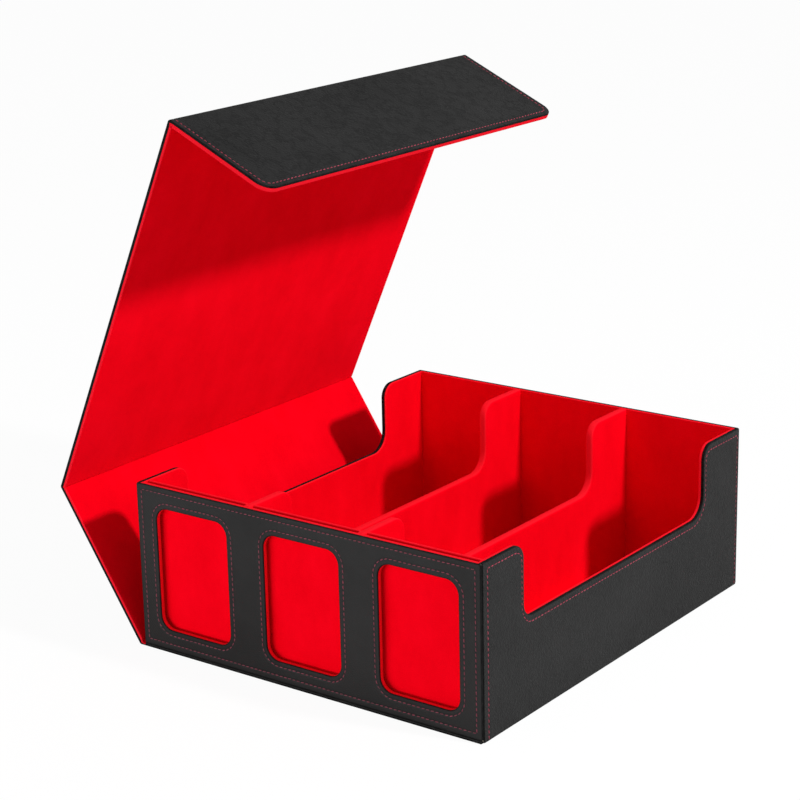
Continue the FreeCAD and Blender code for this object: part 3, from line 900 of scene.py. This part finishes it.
def stitching(name, body, plane, edges, distance, is_closed, thread):
    """The stitches along free edges, lying in their seam channels, as one piece."""
    points, faces = [], []
    rows = [row for edge in edges for row in rows_of(edge, distance, is_closed)]
    for (u, v), angle in [stitch for row in rows for stitch in stitch_places(row)]:
        turn = Matrix.Rotation(angle + STITCH_LEAN, 3, "Z")
        middle = Vector((u, v, LEATHER - SEAM_DEPTH + wave(u, v) * STITCH_WAVE))
        first = len(points)
        points.extend(plane @ ((turn @ point + middle) * MM) for point in STITCH_POINTS)
        faces.extend(tuple(first + i for i in face) for face in STITCH_FACES)
    piece = place(new_mesh(name, points, faces), thread)
    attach(piece, body)


# ---- tray


def make_front():
    """The windowed front: stitched leather outside, lining that wraps the windows inside."""
    outer, inner = back_to_back((0, FACE + LEATHER, 0), X_AXIS, Z_AXIS, -Y_AXIS)
    border = [rectangle_edge(LEFT, RIGHT, BASE_TOP, TOP, PANEL_CORNER)]
    windows = [window_edge(middle) for middle in WINDOW_CENTRES]
    sheet = Sheet(outer)
    levels, window_levels = leather_levels(FRONT_SEAM), leather_levels(WINDOW_SEAM)
    sheet.cover(border, [], levels, [])
    sheet.cover([], windows, window_levels, [])
    for end, has_grid in ((0, True), (-1, False)):
        fill_front(sheet, border, windows, levels[end], window_levels[end], has_grid)
    foot, head = BASE_TOP, TOP - LEATHER
    creases = [straight_edge((x, foot), (x, head), (way, 0)) for x, way in ((RIGHT, -1), (LEFT, 1))]
    strips = [edging(outer, crease, crease_levels()) for crease in creases]
    mesh = joined_meshes([sheet.mesh("front_leather_wrap", True), *strips])
    stand_in(mesh, WOVEN, "tray", "front_leather")
    stitching("front_border_stitching", "tray", outer, border, FRONT_SEAM, True, SHADED_FRONT_THREAD)
    for number, window in enumerate(windows, start=1):
        stitching(f"window_stitching_{number}", "tray", outer, [window], WINDOW_SEAM, True, SHADED_FRONT_THREAD)
    lined = upright_border(top_edge, *LINED_ENDS)
    lining_sheet("front_lining", "tray", inner, lined, lining_levels(FRONT_DEPTH, 0.0), windows)


def fill_front(sheet, border, windows, level, window_level, has_grid):
    """Fills the front between its border and its windows, whose rims end at their own insets."""
    shift = window_level[0] - level[0]
    shifted = [lambda inset, edge=window: edge(inset + shift) for window in windows]
    sheet.fill(border, shifted, level, has_grid)


def make_wall(name, planes, edge, distance, is_closed, top, turned, lined):
    """A wall: stitched leather that turns over its top, and the lining that meets it."""
    outer, inner = planes
    leather_sheet(name, "tray", outer, [edge], distance, [top], turned)
    stitching(f"{name}_wall_stitching", "tray", outer, [edge], distance, is_closed, THREAD)
    lining_sheet(f"{name}_lining", "tray", inner, lined, lining_levels(WALL_DEPTH, turned))


def make_sides():
    """The scooped side walls."""
    front, back = FACE + LEATHER, REAR - LEATHER
    lined = upright_border(scooped_edge, INNER_FRONT, INNER_REAR)
    for name, x, outward, turned in (
        ("left", LEFT + LEATHER, -X_AXIS, LEFT_TURN),
        ("right", RIGHT - LEATHER, X_AXIS, RIGHT_TURN),
    ):
        planes = back_to_back((x, 0, 0), Y_AXIS, Z_AXIS, outward)
        edge = scooped_wrap_edge(front + CREASE, back, low(f"{name}_leather").z)
        top = scooped_edge(front, back)
        make_wall(name, planes, edge, SIDE_SEAM, False, top, turned, lined)


def make_back():
    """The plain back wall."""
    planes = back_to_back((0, REAR - LEATHER, 0), X_AXIS, Z_AXIS, Y_AXIS)
    edge = rectangle_edge(LEFT, RIGHT, low("back_leather").z, TOP, PANEL_CORNER)
    lined = upright_border(top_edge, *LINED_ENDS)
    make_wall("back", planes, edge, FRONT_SEAM, True, top_edge(*LINED_ENDS), BACK_TURN, lined)


def make_inside():
    """Dividers, pocket panels and floors."""
    border = upright_border(scooped_edge, INNER_FRONT, INNER_REAR)
    levels = folded_levels(DIVIDER_ROUND, DIVIDER_DEPTH)
    for node in ("divider_lining_1", "divider_lining_2"):
        plane = plane_at((low(node).x, 0, 0), Y_AXIS, Z_AXIS, X_AXIS)
        lining_sheet(node, "tray", plane, border, levels, has_two_faces=True)
    levels = folded_levels(POCKET_ROUND, POCKET_DEPTH)
    for number in (1, 2, 3):
        node = f"pocket_lining_{number}"
        left, right = low(node).x, high(node).x
        plane = plane_at((0, low(node).y, 0), X_AXIS, Z_AXIS, Y_AXIS)
        border = upright_border(top_edge, left, right)
        lining_sheet(node, "tray", plane, border, levels, has_two_faces=True)
        node = f"floor_lining_{number}"
        front, back = low(node).y, high(node).y
        plane = plane_at((0, 0, BASE_TOP), X_AXIS, Y_AXIS, Z_AXIS)
        border = [(left, front), (right, front), (right, back), (left, back)]
        lining_sheet(node, "tray", plane, border, [(FLAT_FROM, LINING)])


def make_base():
    """The leather under the tray, with its turned-up front lip."""

    def runs(inset):
        front, right, rear = FACE + inset, RIGHT - LEATHER - inset, REAR - LEATHER - inset
        return [[(LEFT, front)], [(right, front)], [(right, rear)], [(LEFT, rear)]]

    # The left side isn't free, since it runs on into the fold: a fixed point there keeps it still
    border = [free_edge(runs), (LEFT, 0.0)]
    lip_border = [rectangle_edge(LEFT, RIGHT, LEATHER_ROUND, BASE_TOP, LIP_CORNER)]
    under = Sheet(plane_at((0, 0, LEATHER), X_AXIS, Y_AXIS, -Z_AXIS), False)
    lip = Sheet(plane_at((0, FACE + LEATHER, 0), X_AXIS, Z_AXIS, -Y_AXIS), False)
    lip_levels = [*rounding(LEATHER_ROUND, LEATHER), (0.0, 0.0)]
    under_levels = [(FLAT_FROM, LEATHER), *lip_levels]
    for sheet, edges, levels in ((under, border, under_levels), (lip, lip_border, lip_levels)):
        sheet.cover(edges, [], levels, [(0, False), (len(levels) - 1, False)])
    mesh = joined_meshes([under.mesh("base_leather_wrap", True), lip.mesh("base_lip", True)])
    stand_in(mesh, PEBBLE, "tray", "base_leather")


# ---- cover


def make_panel(name, panel, border, seams, turned):
    """A cover panel: leather that turns over the free edges, and the lining that meets it."""
    outer, inner = panel.planes()
    leather_sheet(name, name, outer, border, COVER_SEAM, filter(callable, border), turned)
    stitching(f"{name}_stitching", name, outer, seams, COVER_SEAM, False, THREAD)
    lining_sheet(f"{name}_lining", name, inner, border, lining_levels(PANEL_DEPTH - LEATHER, turned))


def sunk(inset, radius):
    """How far a rounded edge's face lies below the flat, at a distance from the edge."""
    return radius - math.sqrt(radius**2 - max(0.0, radius - inset) ** 2)


def fold_rows():
    """The rows across a fold: place, inset, how far the leather sinks and whether it is turned over.

    The row where the turned leather ends is there twice, with it and without it.
    """
    rims = [(inset, LEATHER - height) for inset, height in reversed(leather_levels(COVER_SEAM)[:-1])]
    turned = [(inset, sink, True) for inset, sink in rims if inset < TURNED_LEATHER]
    flat = [(inset, sink, False) for inset, sink in rims if inset > TURNED_LEATHER]
    sink = sunk(TURNED_LEATHER, LEATHER_ROUND)
    side = [*turned, (TURNED_LEATHER, sink, True), (TURNED_LEATHER, sink, False), *flat]
    inner = side[-1][0]
    count = math.ceil((REAR - FACE - 2 * inner) / STEP)
    pitch = (REAR - FACE - 2 * inner) / count
    rows = [(FACE + rim[0], *rim) for rim in side]
    rows += [(FACE + inner + pitch * n, inner + STEP, 0.0, False) for n in range(1, count)]
    return rows + [(REAR - rim[0], *rim) for rim in reversed(side)]


def drawn_in(line, sink):
    """The points of a line with normals, drawn in along them."""
    return [(point[0] - normal[0] * sink, point[1] - normal[1] * sink) for point, normal in line]


def lofted(name, panel, sections):
    """A strip lofted across the cover. A section is a place, an inset and an outer and inner line."""
    points, faces, insets = [], [], []
    width = len(sections[0][2])
    around = 2 * width
    for across, inset, outer, inner in sections:
        points.extend(panel.point(*spot, across) * MM for spot in (*outer, *reversed(inner)))
        insets.extend([inset] * around)
    last = around * (len(sections) - 1)
    for base in range(0, last, around):
        faces.extend(faces_between(base, around))
    for base in (0, last):
        for step in range(width - 1):
            far = base + around - 1 - step
            faces.append((base + step, base + step + 1, far - 1, far))
    return new_mesh(name, points, faces, insets)


FOLD_STEPS = 16
TAB_STEPS = 4
FOLD_GROOVE = 0.8
GROOVE_SHOULDER = 0.3


def around_fold(radius, tab, turn):
    """A line round a fold's axis with its normals: in along the near panel, out along the far one."""
    line = [((-tab * (1 - step / TAB_STEPS), radius), (0.0, 1.0)) for step in range(TAB_STEPS)]
    for step in range(FOLD_STEPS + 1):
        angle = math.pi / 2 - turn * step / FOLD_STEPS
        normal = (math.cos(angle), math.sin(angle))
        line.append(((radius * normal[0], radius * normal[1]), normal))
    forwards = [PANEL_START * step / TAB_STEPS for step in range(1, TAB_STEPS + 1)]
    out = far_point(turn, 0.0, 1.0)
    return line + [(far_point(turn, forward, radius), out) for forward in forwards]


def along_crease(stops, count):
    """A smooth line along the inside of a fold, through stops, with its normals out of the lining."""
    curve = smooth_line(stops, count)
    line = []
    for before, here, after in zip([curve[0], *curve], curve, [*curve[1:], curve[-1]]):
        run = (after - before).normalized()
        line.append((here, (run.y, -run.x)))
    return line


def smooth_line(stops, count):
    """Evenly numbered points on a Catmull-Rom curve through stops."""
    padded = [Vector(stop) for stop in (stops[0], *stops, stops[-1])]
    spans = len(stops) - 1
    line = []
    for number in range(count):
        at = number * spans / (count - 1)
        span = min(int(at), spans - 1)
        t = at - span
        p0, p1, p2, p3 = padded[span : span + 4]
        bend = 2 * p0 - 5 * p1 + 4 * p2 - p3
        twist = 3 * p1 - p0 - 3 * p2 + p3
        line.append((2 * p1 + (p2 - p0) * t + bend * t**2 + twist * t**3) / 2)
    return line


def far_point(turn, forward, outward):
    """A point of the far panel's frame in the near panel's."""
    cosine, sine = math.cos(turn), math.sin(turn)
    return (forward * cosine + outward * sine, outward * cosine - forward * sine)


def inner_stops(turn):
    """The lining's line inside a fold: flat, into a shallow groove and flat again."""
    corner = FOLD_RADIUS * math.tan(turn / 2)
    kept = 1 - FOLD_GROOVE / math.hypot(corner, FOLD_RADIUS)
    shoulder = corner + (PANEL_START - corner) * GROOVE_SHOULDER
    return [
        (-PANEL_START, -FOLD_RADIUS),
        (-shoulder, -FOLD_RADIUS),
        (-corner * kept, -FOLD_RADIUS * kept),
        far_point(turn, shoulder, -FOLD_RADIUS),
        far_point(turn, PANEL_START, -FOLD_RADIUS),
    ]


def base_stops(turn, tab):
    """The lining's line from the foot of the left wall to the spine."""
    return [
        (-tab, 0.5),
        (-tab * 0.6, 0.3),
        (-tab * 0.25, -0.5),
        far_point(turn, PANEL_START * 0.55, -FOLD_RADIUS),
        far_point(turn, PANEL_START, -FOLD_RADIUS),
    ]


def make_fold(name, axis, bodies, near_angle, far_angle, far_turned=COVER_TURN):
    """The strip of leather and lining between two panels, whose bodies are given near then far."""
    near = Panel(axis, near_angle, 0.0)
    turn = near_angle - far_angle
    near_body, far_body = bodies
    on_tray = near_body == "tray"
    tab = LEFT - SPINE_AXIS.x if on_tray else PANEL_START
    outer = around_fold(FOLD_RADIUS, tab, turn)
    under = drawn_in(around_fold(FOLD_RADIUS - LEATHER, tab, turn), 0.0)
    inner = along_crease(base_stops(turn, tab) if on_tray else inner_stops(turn), len(under))
    turned = []
    for index, (outside, (inside_point, _)) in enumerate(zip(under, inner)):
        over = COVER_TURN + (far_turned - COVER_TURN) * index / (len(under) - 1)
        share = over / (PANEL_DEPTH - LEATHER)
        turned.append(tuple(a + (b - a) * share for a, b in zip(outside, inside_point)))
    leather, lining = [], []
    for across, inset, sink, is_turned in fold_rows():
        boundary = turned if is_turned else under
        rounded = drawn_in(inner, sunk(min(inset, LINING_ROUND), LINING_ROUND))
        leather.append((across, inset, drawn_in(outer, sink), boundary))
        lining.append((across, inset, boundary, rounded))
    for kind, sections, material in (("leather", leather, SHADED_COVER_PEBBLE), ("lining", lining, COVER_SUEDE_DIM_SHEEN)):
        strip = place(lofted(f"{name}_{kind}_strip", near, sections), material)
        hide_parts(f"{name}_{kind}")
        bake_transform(strip)


def make_cover():
    """Spine, lid and flap with the folds between them."""
    for name, panel in (("spine", SPINE), ("lid", LID)):
        border = side_edges(PANEL_START, panel.length - PANEL_START)
        make_panel(name, panel, border, side_edges(0.0, panel.length), COVER_TURN)
    border, seam_edge = [flap_edge(start, FLAP.length) for start in (PANEL_START, 0.0)]
    make_panel("flap", FLAP, [border], [seam_edge], FLAP_TURN)
    make_fold("base_fold", SPINE_AXIS, ("tray", "spine"), math.pi, SPINE_ANGLE)
    make_fold("lid_fold", LID_AXIS, ("spine", "lid"), SPINE_ANGLE, LID_ANGLE)
    make_fold("flap_fold", FLAP_AXIS, ("lid", "flap"), LID_ANGLE, FLAP_ANGLE, FLAP_TURN)


# ---- surroundings


def shown_or_lit(tree, output_kind, lit, shown):
    """Gives the camera one shader and everything else another."""
    is_camera = add_node(tree, "LightPath", {}).outputs["Is Camera Ray"]
    choice = add_node(tree, "MixShader", {0: is_camera, 1: lit.outputs[0], 2: shown.outputs[0]})
    add_node(tree, output_kind, {"Surface": choice.outputs[0]})


def emptied(owner):
    """The node tree of a material or world, with nothing in it."""
    owner.use_nodes = True
    owner.node_tree.nodes.clear()
    return owner.node_tree


def floor_material():
    """A floor that looks paler than it lights the object, and takes the object's shadow."""
    material = bpy.data.materials.new("floor")
    tree = emptied(material)
    tones = [(*grey(tone), 1) for tone in (FLOOR_TONE, 1 - FLOOR_GLOW)]
    lit, seen = [add_node(tree, "BsdfDiffuse", {"Color": tone}) for tone in tones]
    glow = add_node(tree, "Emission", {"Strength": FLOOR_GLOW})
    both = add_node(tree, "AddShader", {0: seen.outputs[0], 1: glow.outputs[0]})
    shown_or_lit(tree, "OutputMaterial", lit, both)
    return material


FLOOR_HALF = 6.0
FLOOR_TONE = 0.6
FLOOR_GLOW = 0.95
AMBIENT = 0.43
# The key lamp, in watts and metres. It is near, so the flap's shadow falls lower than the posts' shadows
KEY_POWER = 47.0
KEY_WIDTH = 0.2
KEY_PLACE = Vector((1.755, 0.243, 1.51))
KEY_TARGET = Vector((0.0, 0.0, 0.12))
# The fill, a wide sun from the front, in degrees
FILL_STRENGTH = 0.6
FILL_SIZE = 26.0
FILL_ELEVATION = 5.0
FILL_DISTANCE = 3.0
# The long low strip in front of the box, which gives the front its sheen
STRIP_POWER = 4.3
STRIP_SIZE = (0.9, 0.1)
STRIP_PLACE = Vector((-0.3, -1.0, 0.055))


def make_floor():
    """A wide plain floor."""
    corners = [(x * FLOOR_HALF, y * FLOOR_HALF, 0) for x, y in ((-1, -1), (1, -1), (1, 1), (-1, 1))]
    mesh = new_mesh("floor", corners, [(0, 1, 2, 3)])
    mesh.materials.append(floor_material())
    floor = add_object("floor", mesh)


def make_world():
    """Even white surroundings, seen as white and lighting at a plain level."""
    world = bpy.data.worlds.new("studio")
    bpy.context.scene.world = world
    tree = emptied(world)
    white = {"Color": (*grey(1.0), 1)}
    lit, seen = [add_node(tree, "Background", {**white, "Strength": level}) for level in (AMBIENT, 1.0)]
    shown_or_lit(tree, "OutputWorld", lit, seen)


def add_lamp(name, kind, power, where, back, **shape):
    """A lamp that the camera doesn't see, with its back towards a direction."""
    lamp = bpy.data.lights.new(name, kind)
    lamp.energy = power
    for key, value in shape.items():
        setattr(lamp, key, value)
    holder = add_object(name, lamp)
    holder.location = where
    holder.rotation_mode = "QUATERNION"
    holder.rotation_quaternion = back.to_track_quat("Z", "Y")
    holder.visible_camera = False


def make_lamps():
    """A small key from the right, a wide fill from the front and a low strip."""
    add_lamp("key", "AREA", KEY_POWER, KEY_PLACE, KEY_PLACE - KEY_TARGET, shape="DISK", size=KEY_WIDTH)
    rise = math.radians(FILL_ELEVATION)
    back = Vector((0.0, -math.cos(rise), math.sin(rise)))
    add_lamp("fill", "SUN", FILL_STRENGTH, back * FILL_DISTANCE, back, angle=math.radians(FILL_SIZE))
    width, height = STRIP_SIZE
    size = {"shape": "RECTANGLE", "size": width, "size_y": height}
    add_lamp("strip", "AREA", STRIP_POWER, STRIP_PLACE, -Y_AXIS, **size)


CAMERA_PLACE = Vector((0.81275, -1.13167, 0.56919))
CAMERA_AZIMUTH = math.radians(36.892)
CAMERA_ELEVATION = math.radians(16.764)
CAMERA_ROLL = math.radians(-1.261)
CAMERA_LENS = 101.15
SENSOR_WIDTH = 36.0
VIEW_DEPTH = 50.0


def make_camera():
    """The camera, to the right of straight on and a little above."""
    data = bpy.data.cameras.new("camera")
    data.sensor_width = SENSOR_WIDTH
    data.lens = CAMERA_LENS
    data.clip_end = VIEW_DEPTH
    camera = add_object("camera", data)
    heading = Matrix.Rotation(CAMERA_AZIMUTH, 4, "Z")
    pitch = Matrix.Rotation(math.pi / 2 - CAMERA_ELEVATION, 4, "X")
    roll = Matrix.Rotation(CAMERA_ROLL, 4, "Z")
    camera.matrix_world = Matrix.Translation(CAMERA_PLACE) @ heading @ pitch @ roll
    bpy.context.scene.camera = camera


bpy.context.scene.view_settings.view_transform = "Standard"
dress_cad_nodes()
make_front()
make_sides()
make_back()
make_inside()
make_base()
make_cover()
make_floor()
make_world()
make_lamps()
make_camera()
